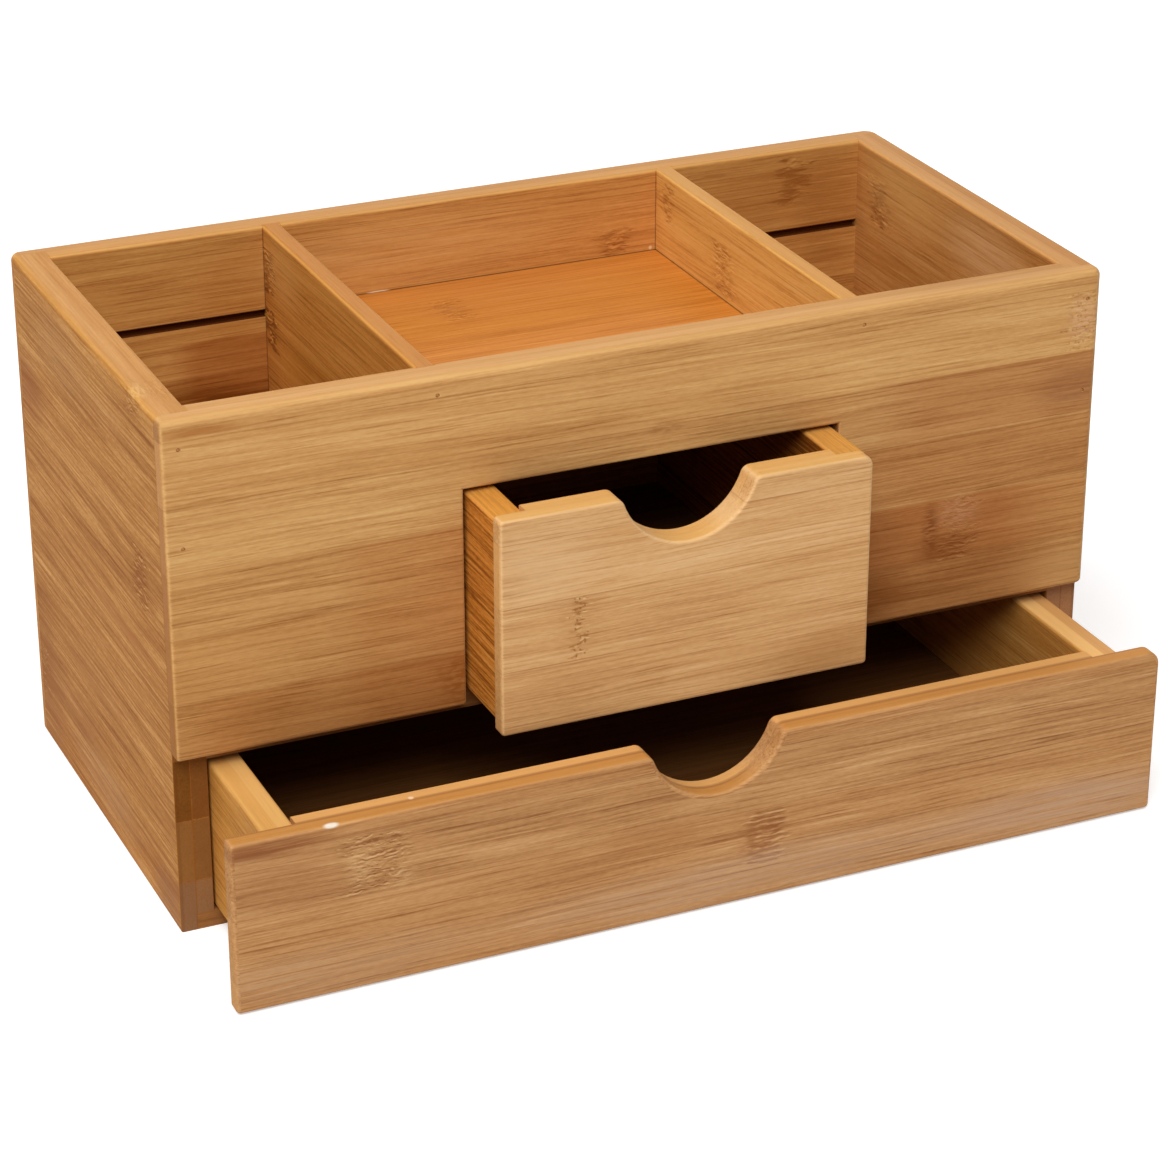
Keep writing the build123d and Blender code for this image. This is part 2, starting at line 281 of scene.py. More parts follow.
# %% [markdown]
# ## Grain
# Bamboo has no year rings. What shows is bundles of fibres: thin lines, some pale and some brown, each a
# few centimetres long. Noise that is stretched fifty times along the fibres draws such lines. Several
# sizes of it are added up, because a single size looks like brushed metal.

# %% Fibre lines
def grain(board):
    """How much lighter or darker the fibres make the wood, and how high they stand."""
    faint = board.noise((48.0, 0.8, 0.8), detail=3.0)
    dark = board.noise((24.0, 0.6, 0.7), detail=1.0).between(0.58, 0.74)
    brown = board.noise((60.0, 1.1, 1.1), detail=2.0).between(0.60, 0.76)
    pale = board.noise((30.0, 1.0, 1.0), detail=1.0).between(0.56, 0.76)
    bands = board.noise((100.0, 2.8, 2.8), detail=2.0) - 0.5
    clouds = board.noise((60.0, 8.0, 8.0), detail=2.0) - 0.5
    tooth = board.noise((2.4, 0.45, 0.45), detail=2.0) - 0.5
    shade = faint.between(0.42, 0.70) * -0.20 + dark * -0.18 + brown * -0.16 + pale * 0.13
    shade = shade + bands * 0.34 + clouds * 0.34 + tooth * 0.30
    return shade, faint * 0.5 - dark * 0.5


# %% [markdown]
# ## Knots
# Every 20 to 40 cm a bamboo stem has a joint. In a planed strip it shows as a short band across the
# fibres, where they break up into hooked strokes, each with a lit and a shaded edge, in wood that is a
# little darker, redder or paler. The same noise is read a little above and a little below each place:
# the difference between the two readings draws the lit and the shaded edge of every stroke.

# %% Knots
PIT_PITCH_ALONG = 1.6
PIT_PITCH_ACROSS = 2.2
KNOT_BEND = 2.2
LONGEST_FRAY = 18.0


def knot(at, half, stroke=(3.4, 0.75), edge=1.2, dark=0.4, pits=0.0, rungs=0.0, soft=0.6):
    """A knot: its middle and half size along and across the board, and how it shows.

    stroke is its strokes' length and thickness, and edge how strongly they stand out. dark is how brown
    it is, pits how dark its pits are, rungs the pitch of its ladder marks and soft its frayed ends' share.
    """
    return {"at": at, "half": half, "stroke": stroke, "edge": edge, "dark": dark, "pits": pits,
            "rungs": rungs, "soft": soft}


def hooked_strokes(board, bend, stroke):
    """Short strokes with a lit edge above and a shaded edge below."""
    long, thin = stroke
    size = (long, thin, thin)
    above = board.wire.vector(board.along, board.across + bend + thin * 0.4, board.through)
    below = board.wire.vector(board.along, board.across + bend - thin * 0.4, board.through)
    slope = board.noise(size, roughness=0.6, at=above) - board.noise(size, roughness=0.6, at=below)
    return slope.between(0.05, 0.22) * 0.34 - slope.between(-0.20, -0.04, 0.32, 0.0), slope


def rung_marks(board, bend, pitch):
    """Evenly spaced pale lines with dark wood between, like a ladder's rungs; the pale lines are painted
    highlights on the rungs' relief.
    """
    off = ((board.across + bend * 0.5) / pitch).from_whole()
    return off.between(0.08, 0.22, 0.46, 0.0) - off.between(0.20, 0.36, 0.0, 0.10)


def pit_marks(board):
    """One in tiny round pits."""
    cells = board.wire.vector_math(
        "DIVIDE", board.wire.vector(board.along, board.across, 0.0), (PIT_PITCH_ALONG, PIT_PITCH_ACROSS, 1.0))
    off = board.wire.node("ShaderNodeTexVoronoi", {"voronoi_dimensions": "2D"}, {
        "Vector": cells, "Scale": 1.0, "Randomness": 0.8}, out="Distance")
    return off.between(0.10, 0.24, 1.0, 0.0)


# %% Knots on a board
def knot_marks(board, knots):
    """What the knots add to the shade, how much they redden the wood, and their relief."""
    wire = board.wire
    shade, red, relief = 0.0, 0.0, 0.0
    bend = (board.noise((4.5, 2.6, 2.6), detail=1.0, at=board.place) - 0.5) * KNOT_BEND
    for mark in knots:
        x, y = mark["at"]
        half_x, half_y = mark["half"]
        uneven = board.noise((40.0, 1.6, 1.6), detail=1.0, at=board.place) - 0.5
        fray = uneven * min(LONGEST_FRAY, 6.0 * half_x)
        ragged = wire.vector(board.along + fray, board.across, 0.0)
        core = board.box((x, y, 0.0), (half_x, half_y, 1.0), (mark["soft"], 0.15, 1.0), at=ragged)
        halo = board.oval((x, y, 0.0), (half_x * 2.0 + 5.0, half_y * 1.15, 1.0), 0.9, at=ragged)
        strokes, slope = hooked_strokes(board, bend, mark["stroke"])
        long, thin = mark["stroke"]
        blots = board.noise((long * 1.5, thin * 3.0, thin * 3.0), detail=1.0, at=board.place)
        blots = blots.between(0.40, 0.60)
        shade = shade + core * strokes * mark["edge"]
        shade = shade - core * blots * (0.30 * mark["dark"]) - halo * (0.12 * mark["dark"])
        red = red + core * blots * max(mark["dark"], 0.0)
        relief = relief + core * slope * (5.0 * mark["edge"])
        if mark["rungs"]:
            shade = shade + core * rung_marks(board, bend, mark["rungs"])
            red = red + core * 0.3
        if mark["pits"]:
            pits = pit_marks(board) * core
            shade = shade - pits * mark["pits"]
            relief = relief - pits * 2.0
    return shade, red, relief


# %% [markdown]
# ## End grain and joints
# Where a board is cut across, the fibres' ends show as fine dots and drink more lacquer, so the wood is
# darker there and each strip and layer is a block of its own. Glue leaves a thin line between strips,
# and another one where two boards meet.

# %% End grain, glue lines, and long and rounded edges, paler partly as painted light
def end_grain(board, colour, deep_tone, blocks, end_tone, strength, porous):
    """The colour with the cut ends' blocks, pores and glue between the layers."""
    wire = board.wire
    ends = wire.mix(0.2 + board.tone_luck * 0.8, colour, paint(end_tone))
    for centre, half, code in blocks:
        ends = wire.mix(board.box(centre, half, (0.1, 0.03, 0.06)), ends, paint(code))
    pores = board.noise((4.0, 0.42, 0.42), detail=2.0).between(0.4, 0.68)
    ends = wire.mix(pores * porous, ends, paint(deep_tone))
    off_ply = board.plies_in.from_whole() * board.ply
    ends = wire.mix(off_ply.between(0.05, 0.35, 0.5, 0.0), ends, paint(deep_tone))
    return wire.mix(board.cut * strength, colour, ends)


def long_edges(board, colour, deep_tone, first_tone, second_tone, strength, glue):
    """The colour with both layers showing on the board's long edges, and the glue between them.

    The layers' tones are partly the wood's own and partly painted light: they are paler than the
    faces, as the top edges catch the light from above.
    """
    wire = board.wire
    layers = wire.mix(board.plies_in.between(0.95, 1.05), paint(first_tone), paint(second_tone))
    layers = wire.mix(abs(board.plies_in - 1.0).between(0.05, 0.25, glue, 0.0), layers, paint(deep_tone))
    return wire.mix(board.facing[1].between(*SQUARE_ON) * (1 - board.cut) * strength, colour, layers)


def rounded_edge(board):
    """One where an edge is rounded over, and nothing on the flats and the cut ends."""
    lengthwise, crosswise, inward = board.facing
    return (1 - lengthwise.greatest(crosswise, inward)).between(0.015, 0.2) * (1 - board.cut)


def glue_lines(board, strength):
    """One on the thin glue lines between strips, where they show at all."""
    off_line = board.strips_up.from_whole() * STRIP
    shown = board.noise((30.0, 3.0, 3.0)).between(0.35, 0.6, 0.15, 1.0)
    return off_line.between(0.05, 0.3, 1.0, 0.0) * shown * strength


def joint_lines(board, joints):
    """One on thin lines where another board meets this one's face: (direction, place, face's place)."""
    line = 0.0
    places = {"along": board.along, "across": board.across, "through": board.through}
    for direction, at, face in joints:
        on_face = abs(board.through - face).between(1.0, 1.5, 1.0, 0.0)
        line = abs(places[direction] - at).between(0.10, 0.45, 1.0, 0.0) * on_face + line
    return line * board.facing[1].between(0.3, 0.7, 1.0, 0.0)


# %% The wood recipe
WARM_STRIP = "#C87E3C"
KNOT_BROWN = "#8A5026"
JOINT_BROWN = "#6A3A18"
SLOT_SHADE_BROWN = "#5A2C10"
SPECKLED_UP_TO = 12.5
ROUGHNESS = 0.56
SMOOTHER_WHERE_PALE = 0.10
ROUGHER_ENDS = 0.12
SHEEN = 0.05


def bamboo(name, axes, colours, seam=16.4, plies=(0.0, 5.2), tones=(0.5,), first=0, seed=0.0, contrast=1.0,
           knots=(), stains=(), runs=(), slots=(), joints=(), joint=0.6, blocks=(), specks_and_glints=(),
           ends=("#9C6A42", 0.6, 0.4), edges=None, rub_and_highlight=0.35, glue=0.4):
    """A board's wood. axes names the fibres', the strips' and the layers' direction, such as 'xzy'.

    colours are the deep, middle and pale tone. seam is the place of one glue line between strips, and
    plies the place of one layer's face and the layers' thickness. tones gives each strip's tone from
    strip number first on, 0.5 being neutral. stains and runs are (centre, half size, strength, colour),
    the runs filling their strip. blocks and chips are (centre, half size, colour): blocks tone a cut
    end and chips are pale specks, painted glints of light, which on the back board sit on glue beads.
    slots are boxes painted dark as the shade inside a groove, as (centre, half size).
    joints are lines where another board meets a face, as (direction, place, face's place), and joint is
    how dark they are. ends is the cut ends' tone, how much of it shows and how porous they look. edges
    is the first and the second layer's tone on the long edges, how much of them shows and how dark the
    glue between them is; these tones are partly the layers' own and partly painted light, paler as the
    top edges catch the light. rub is how pale the rounded edges are, partly as rubbed wood and partly
    as a painted highlight, and glue how dark the lines between strips are.
    """
    board = Board(name, axes, seam, plies, seed)
    wire = board.wire
    deep_tone, middle_tone, pale_tone = colours
    fibre_shade, relief = grain(board)
    count = len(tones)
    strip_tone = wire.node("ShaderNodeValToRGB", {
        "interpolation": "CONSTANT",
        "stops": [(k / count, (tone,) * 3) for k, tone in enumerate(tones)]},
        {0: (board.strip - first + 0.5) / count})
    shade = fibre_shade * contrast + strip_tone + (board.tone_luck - 0.5) * 0.08 + 0.05
    if knots:
        knot_shade, red, knot_relief = knot_marks(board, knots)
        shade = shade + knot_shade
        relief = relief + knot_relief

    colour = wire.node("ShaderNodeValToRGB", {"interpolation": "LINEAR", "stops": [
        (0.05, tint(deep_tone)), (0.5, tint(middle_tone)), (0.95, tint(pale_tone))]}, {0: shade})
    colour = wire.mix(board.warm_luck * 0.14, colour, paint(WARM_STRIP))
    if knots:
        colour = wire.mix(red * 0.30, colour, paint(KNOT_BROWN))
    streaks = board.noise((22.0, 1.0, 1.0), detail=2.0).between(0.3, 0.6, 0.35, 1.0)
    specks = board.noise((3.0, 0.8, 0.8), detail=2.0).between(0.38, 0.62, 0.1, 1.0)
    for centre, half, strength, code in stains:
        broken = streaks if half[0] > SPECKLED_UP_TO else specks
        colour = wire.mix(board.oval(centre, half) * broken * strength, colour, paint(code))
    for centre, half, strength, code in runs:
        run = board.box(centre, half, (0.5, 0.03, 0.03)) * strength
        colour = wire.mix(run, colour, wire.mix(0.55, colour, paint(code), "MULTIPLY"))

    colour = wire.mix(glue_lines(board, glue), colour, paint(deep_tone))
    # Long edges are paler: partly the layers' own tone, partly painted light.
    if edges:
        colour = long_edges(board, colour, deep_tone, *edges)
    colour = end_grain(board, colour, deep_tone, blocks, *ends)
    # Rounded edges are paler: partly rubbed wood, partly a painted highlight where they catch the light.
    colour = wire.mix(rounded_edge(board) * rub_and_highlight, colour, paint(pale_tone))
    if joints:
        colour = wire.mix(joint_lines(board, joints) * joint, colour, paint(JOINT_BROWN))
    # Slots are painted dark: the shade inside a groove.
    for centre, half in slots:
        colour = wire.mix(board.box(centre, half, (0.02, 0.02, 0.02)), colour, paint(SLOT_SHADE_BROWN))
    # Pale specks are painted glints of light; on the back board they sit on glue beads.
    for centre, half, code in specks_and_glints:
        colour = wire.mix(board.oval(centre, half, 0.6), colour, paint(code))

    roughness = ROUGHNESS - (shade - 0.5) * SMOOTHER_WHERE_PALE + board.cut * ROUGHER_ENDS
    normal = wire.node("ShaderNodeBump", None, {"Strength": 0.5, "Distance": 0.0001, "Height": relief})
    surface = wire.node("ShaderNodeBsdfPrincipled", None, {
        "Base Color": colour, "Roughness": roughness, "Normal": normal, "Specular IOR Level": SHEEN})
    wire.node("ShaderNodeOutputMaterial", None, {"Surface": surface})
    return board.material


# %% [markdown]
# ## Wood for each board
# No two boards of the real box look alike: each has its own tone, strips, knots and marks. Some boards'
# tones also hold painted shade and painted light, as said at each. They are placed here in the board's
# own directions, in millimetres from the middle of the box's foot.

# %% Give a board its wood
def on_face(face, deep, *marks):
    """Stains or runs on a face, from each one's (place, half size, strength, colour) on that face."""
    return [((*at, face), (*half, deep), strength, code) for at, half, strength, code in marks]


def dress(material, *nodes):
    """Gives these boards that wood."""
    for node in nodes:
        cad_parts[node].material_slots[0].material = material
    print(material.name, "on", ", ".join(nodes))


# %% Side boards
SIDE_WOOD = ("#8C5016", "#B17732", "#DAA25A")
RIGHT_RIM = ("#BA8850", "#AC7A42", 0.7, 0.1)
SIDE_RIM = ("#C28E54", "#B68044", 0.7, 0.1)
# The front end's blocks darken towards the top: partly the layers' own tone, partly painted shade under the
# front board.
FRONT_END_TONES = ((6.5, "#896547", "#906A48"), (26.5, "#8C6134", "#845A30"), (46.6, "#6C4218", "#784A22"))
FRONT_END_BLOCKS = [((-70.0, strip_middle, ply_middle), (5.0, 10.0, 2.6), code)
                    for strip_middle, *codes in FRONT_END_TONES
                    for ply_middle, code in zip((-147.4, -142.2), codes)]
dress(bamboo("left_side_bamboo", "yzx", SIDE_WOOD, plies=(-150.0, 5.2), seed=1.0, contrast=1.7,
             tones=(0.48, 0.45, 0.46, 0.52, 0.47, 0.55, 0.52, 0.56, 0.58), first=-1,
             knots=(knot((-49.0, 106.0), (8.5, 10.0), stroke=(4.0, 0.8), edge=1.7, dark=0.3),
                    knot((66.0, 24.0), (6.0, 9.5), stroke=(4.0, 0.8), edge=1.5, dark=0.3),
                    knot((-49.0, 163.0), (9.0, 7.0), edge=1.1, dark=0.3)),
             stains=on_face(
                 -150.0, 20.0,
                 ((62.0, 124.0), (24.0, 16.0), 0.8, "#92521C"),
                 ((62.0, 20.0), (24.0, 44.0), 0.7, "#90561E"),
                 ((25.0, 148.0), (40.0, 16.0), 0.35, "#BE8E58"),
                 ((0.0, 14.0), (50.0, 13.0), 0.35, "#B48A60"),
                 ((30.0, 27.0), (50.0, 10.0), 0.35, "#9A602C"),
                 ((-25.0, 82.0), (52.0, 4.0), 0.6, "#A6652C"),
                 ((5.0, 48.0), (44.0, 9.0), 0.4, "#A46830"),
                 ((-20.0, 146.0), (40.0, 8.0), 0.3, "#A46830"),
                 ((-49.0, 106.0), (10.0, 11.0), 0.45, "#8E4E06"),
                 ((-62.0, 6.0), (22.0, 13.0), 0.6, "#986842")) + [
                     ((-50.0, 163.6, -148.0), (8.0, 3.0, 3.0), 0.8, "#F2CC88")],
             ends=("#8A5A34", 0.9, 0.35), blocks=FRONT_END_BLOCKS, edges=SIDE_RIM, rub_and_highlight=0.4,
             joints=(("along", -70.0, -150.0), ("along", 70.0, -150.0)), joint=0.25),
      "left_side_panel")
dress(bamboo("right_side_bamboo", "yzx", ("#8A4F20", "#BF8243", "#DFAA68"), plies=(139.6, 5.2), seed=2.0,
             tones=(0.5, 0.45, 0.52, 0.48, 0.44, 0.5, 0.55, 0.48, 0.5), first=-1,
             knots=(knot((48.0, 147.0), (8.0, 9.0), stroke=(3.4, 1.0), edge=0.9, dark=0.9),),
             stains=on_face(
                 139.6, 4.0,
                 ((34.0, 154.0), (40.0, 17.0), 0.6, "#DEA660"),
                 ((-22.0, 152.0), (36.0, 15.0), 0.5, "#E2B07C"),
                 ((20.0, 126.0), (76.0, 14.0), 0.6, "#A26020")),
             ends=("#A87856", 0.95, 0.25), edges=RIGHT_RIM, rub_and_highlight=0.3,
             joints=(("along", -70.0, 150.0), ("along", 70.0, 150.0)), joint=0.25),
      "right_side_panel")

# %% Back board
BACK_WOOD = ("#965A26", "#CA904D", "#E6B46E")
dress(bamboo("back_bamboo", "xzy", BACK_WOOD, plies=(64.6, 5.2), seed=3.0,
             tones=(0.5, 0.44, 0.52, 0.46, 0.55, 0.36, 0.5, 0.52, 0.46), first=-1,
             knots=(knot((50.0, 141.0), (7.0, 5.0), edge=0.7, dark=0.5),
                    knot((115.0, 153.0), (6.5, 9.0), stroke=(4.0, 1.0), edge=0.7, dark=0.9)),
             runs=on_face(
                 64.6, 6.0,
                 ((-80.0, 117.0), (26.0, 12.0), 1.0, "#C08440")),
             stains=on_face(
                 64.6, 6.0,
                 ((-20.0, 150.0), (70.0, 18.0), 0.35, "#DCAC70"),
                 ((106.0, 140.0), (45.0, 34.0), 0.5, "#AC6C30"),
                 ((130.0, 142.0), (20.0, 40.0), 0.5, "#9C5C24"),
                 ((-82.0, 140.0), (20.0, 24.0), 0.35, "#A4601C"),
                 ((-100.0, 106.0), (54.0, 10.0), 0.95, "#7E4406")),
             # Pale specks along the seam: glue beads with a painted glint.
             specks_and_glints=(((-33.0, 136.5, 64.6), (5.0, 0.4, 1.0), "#EBD6B2"),
                    ((63.0, 137.3, 64.6), (0.8, 0.9, 1.0), "#DFC296")),
             # The groove for the tray floor is painted dark, as the shade inside it.
             slots=(((0.0, 135.1, 66.6), (150.0, 1.35, 1.95)),),
             edges=("#BA864A", "#B48450", 0.7, 0.1),
             joints=(("along", -71.0, 64.6), ("along", 65.0, 64.6), ("across", 136.3, 64.6)), joint=0.75),
      "back_board")

# %% Front board
FASCIA_WOOD = ("#8F5A2A", "#C39158", "#E2B87A")
LIP_TONES = ("#9C6633", "#A66D39", "#AA7040", "#B27A48", "#C68F58")
LIP_BLOCKS = [((-150.0, 67.0 + strip * STRIP, -72.5), (4.0, 10.0, 5.0), code)
              for strip, code in enumerate(LIP_TONES)]
dress(bamboo("fascia_bamboo", "xzy", FASCIA_WOOD, seam=57.0, plies=(-75.0, 5.2), seed=4.0,
             # The strips darken towards the foot: partly their own tone, partly painted shade near the
             # drawers below.
             tones=(0.42, 0.45, 0.47, 0.54, 0.60, 0.52),
             knots=(knot((144.0, 148.0), (6.5, 10.0), stroke=(3.0, 1.1), edge=0.6, dark=-0.1, pits=0.2),
                    knot((103.0, 90.5), (8.5, 6.5), stroke=(2.0, 0.6), edge=0.7, dark=-0.1),
                    knot((103.0, 80.0), (9.0, 4.5), stroke=(4.0, 0.75), edge=1.0, dark=0.2)),
             runs=on_face(
                 -75.0, 20.0,
                 ((130.0, 128.0), (70.0, 10.05), 1.0, "#D0A48C"),
                 ((112.0, 87.0), (64.0, 10.05), 0.5, "#D8AA88"),
                 ((130.0, 107.5), (90.0, 10.05), 0.6, "#D0987A"),
                 ((85.0, 77.0), (60.0, 20.1), 0.8, "#CC9470"),
                 ((-95.0, 67.0), (62.0, 10.05), 0.6, "#D8A05C"),
                 ((-70.0, 87.0), (34.0, 30.0), 0.45, "#D49C5C")),
             stains=on_face(
                 -75.0, 20.0,
                 ((93.5, 87.0), (4.5, 13.0), 0.8, "#8A5228"),
                 ((98.0, 80.5), (14.0, 7.0), 0.6, "#905828"),
                 ((103.0, 92.0), (11.0, 8.0), 0.55, "#DDB48C"),
                 ((-62.0, 68.0), (12.4, 12.0), 0.7, "#A06428"),
                 ((143.5, 149.0), (8.0, 10.0), 0.6, "#D8A880"),
                 ((72.0, 68.0), (20.0, 11.0), 0.7, "#965A24"),
                 ((141.0, 127.0), (18.0, 11.0), 0.5, "#9A6A4A"),
                 ((135.0, 67.0), (30.0, 10.0), 0.5, "#C89860"),
                 ((3.0, 136.5), (9.0, 3.0), 0.5, "#9C683A"),
                 ((-138.0, 159.5), (16.0, 2.6), 0.7, "#A3642F")) + [
                     ((112.0, 164.0, -67.0), (60.0, 4.0, 9.0), 1.0, "#8E6234")],
             blocks=LIP_BLOCKS, ends=("#A06C40", 0.85, 0.3), edges=("#C49258", "#BA864A", 0.7, 0.05), rub_and_highlight=0.3,
             joints=(("through", -70.0, -70.0),), joint=0.25),
      "front_fascia")

# %% Dividers and tray floor
dress(bamboo("left_divider_bamboo", "yzx", ("#8C521C", "#CB863C", "#E3A85A"), plies=(-71.0, 6.1), seed=5.0,
             knots=(knot((60.0, 150.0), (6.5, 8.0), stroke=(3.4, 1.0), edge=1.9, dark=1.2),
                    knot((60.0, 131.0), (6.0, 7.0), stroke=(3.4, 1.0), edge=1.7, dark=1.2)),
             stains=on_face(
                 -71.0, 6.0,
                 ((50.0, 154.0), (26.0, 16.0), 0.6, "#DCA05A"),
                 ((10.0, 126.0), (56.0, 16.0), 0.6, "#A26014")),
             edges=("#AE7232", "#AE7232", 0.75, 0.0)),
      "left_divider")
dress(bamboo("right_divider_bamboo", "yzx", ("#AC6E30", "#E0A758", "#F2C67E"), plies=(65.0, 6.1), seed=6.0,
             knots=(knot((55.0, 155.0), (5.0, 7.0), edge=0.7, dark=0.6),
                    knot((14.0, 146.0), (10.0, 9.0), edge=0.7, dark=0.4)),
             edges=("#B8813F", "#9C6A36", 0.8, 0.0), rub_and_highlight=0.1,
             joints=(("across", 136.3, 65.0),), joint=0.75),
      "right_divider")
dress(bamboo("tray_bamboo", "xyz", ("#9A5414", "#BE762C", "#D69142"), seam=10.0, plies=(133.9, 2.5), seed=7.0,
             knots=(knot((-17.0, 40.0), (6.0, 10.0), dark=0.6, pits=0.2),),
             stains=on_face(
                 136.3, 5.0,
                 ((0.0, 52.0), (90.0, 34.0), 0.5, "#C68044")),
             joints=(("along", 65.0, 136.3), ("across", 64.6, 136.3)), joint=0.75),
      "tray_floor")

# %% Shelf, bottom panel and drawer bases
# These two woods are darker than the others as painted shade: the shelf, the bottom panel and the drawers'
# bases and backs lie in the dark under the front board and inside the drawers.
SHADED_SHELF_WOOD = ("#6A3F1E", "#966436", "#B98552")
SHADED_BASE_WOOD = ("#43250F", "#6A4423", "#8A6036")
dress(bamboo("shelf_bamboo", "xyz", SHADED_SHELF_WOOD, seed=8.0), "shelf_board", "bottom_panel")
dress(bamboo("drawer_base_bamboo", "xyz", SHADED_BASE_WOOD, seed=14.0), "large_drawer_base", "small_drawer_base")

# %% Drawer fronts
dress(bamboo("large_front_bamboo", "xzy", ("#8C5A34", "#BC8B59", "#DCB07E"), seam=10.4,
             plies=(-120.7, 5.0), tones=(0.50, 0.5, 0.49, 0.42), first=-1, seed=9.0, contrast=1.2,
             knots=(knot((-107.0, 40.5), (12.0, 10.0), stroke=(3.4, 0.7), edge=1.2, dark=0.15),
                    knot((16.5, 20.5), (6.5, 9.6), stroke=(4.0, 0.7), edge=0.55, dark=0.45, rungs=1.9,
                         soft=0.35)),
             stains=on_face(
                 -120.0, 20.0,
                 ((-135.0, 40.0), (22.0, 12.0), 0.4, "#9A623A"),
                 ((-112.0, 40.0), (6.0, 9.0), 0.5, "#D8AE7A"),
                 ((-99.0, 34.0), (6.0, 6.0), 0.4, "#D8AE7A"),
                 ((14.0, 20.5), (11.0, 11.0), 0.55, "#94562F"),
                 ((-20.0, 28.0), (26.0, 8.0), 0.35, "#9E6638"),
                 ((120.0, 9.0), (64.0, 12.0), 0.6, "#C4A184"),
                 ((10.0, 9.0), (110.0, 12.0), 0.35, "#C8AC90"),
                 ((-120.0, 9.0), (60.0, 12.0), 0.35, "#B29274"),
                 ((-138.0, 51.5), (28.0, 4.0), 0.9, "#8A5230")),
             # Two painted glints on the drawer front's top edge.
             specks_and_glints=(((-120.0, 54.8, -120.2), (2.9, 1.0, 1.5), "#E6DACA"),
                    ((-94.0, 55.0, -114.7), (1.1, 0.6, 1.1), "#EAC8A0")),
             ends=("#D09A5C", 0.6, 0.15), edges=("#BE8442", "#DCA562", 0.8, 0.6), rub_and_highlight=0.15),
      "large_drawer_front")
dress(bamboo("small_front_bamboo", "xzy", ("#A36E3E", "#D0A16B", "#EAC592"), seam=59.6,
             plies=(-99.3, 5.0), tones=(0.45, 0.49, 0.49, 0.54), seed=10.0, glue=0.7,
             ends=("#DCA864", 0.6, 0.15), edges=("#D8A65E", "#D6A25A", 0.7, 0.1), rub_and_highlight=0.4,
             knots=(knot((-35.0, 90.0), (2.2, 10.8), stroke=(2.2, 0.9), edge=1.0, dark=0.5, pits=0.5),),
             stains=on_face(
                 -99.0, 20.0,
                 ((-35.0, 90.0), (12.0, 12.0), 0.25, "#B07E48"),
                 ((-45.0, 112.0), (26.0, 18.0), 0.4, "#E2BE90"),
                 ((46.0, 67.0), (22.0, 10.0), 0.4, "#B27C46"))),
      "small_drawer_front")

# %% Drawer sides and backs
# The drawer sides' long edges are paler as painted light, since their top edges catch the light.
LARGE_SIDE_WOOD = ("#8A5020", "#C4883F", "#E2B068")
dress(bamboo("large_left_side_bamboo", "yzx", LARGE_SIDE_WOOD, plies=(-138.8, 5.0), seed=11.0,
             edges=("#D4A05A", "#DCAC68", 0.8, 0.0)),
      "large_drawer_left_side")
dress(bamboo("large_right_side_bamboo", "yzx", LARGE_SIDE_WOOD, plies=(128.8, 5.0), seed=15.0,
             edges=("#EABA76", "#D29E62", 0.85, 0.0)),
      "large_drawer_right_side")
dress(bamboo("small_drawer_side_bamboo", "yzx", ("#864A14", "#C88032", "#E2A656"), seed=13.0, contrast=2.2,
             # The run on the right side's inner face is painted shade: it darkens the inside of the small
             # drawer.
             runs=on_face(
                 49.5, 2.5,
                 ((0.0, 95.0), (120.0, 31.5), 1.0, "#8A5A30")),
             edges=("#D79A46", "#DAA252", 0.6, 0.0)),
      "small_drawer_left_side", "small_drawer_right_side")
dress(bamboo("drawer_back_bamboo", "xzy", SHADED_SHELF_WOOD, seed=12.0), "large_drawer_back", "small_drawer_back")


# %% [markdown]
# ## Wire brads
# The box's corners and the drawers' backs are pinned with brads: short bits of wire with a slightly
# crowned head and a pointed foot, set just below the face. They are all alike, so one is drawn and Geometry
# Nodes put it at every place. Each place is a point that carries one vector, the way out of the wood.

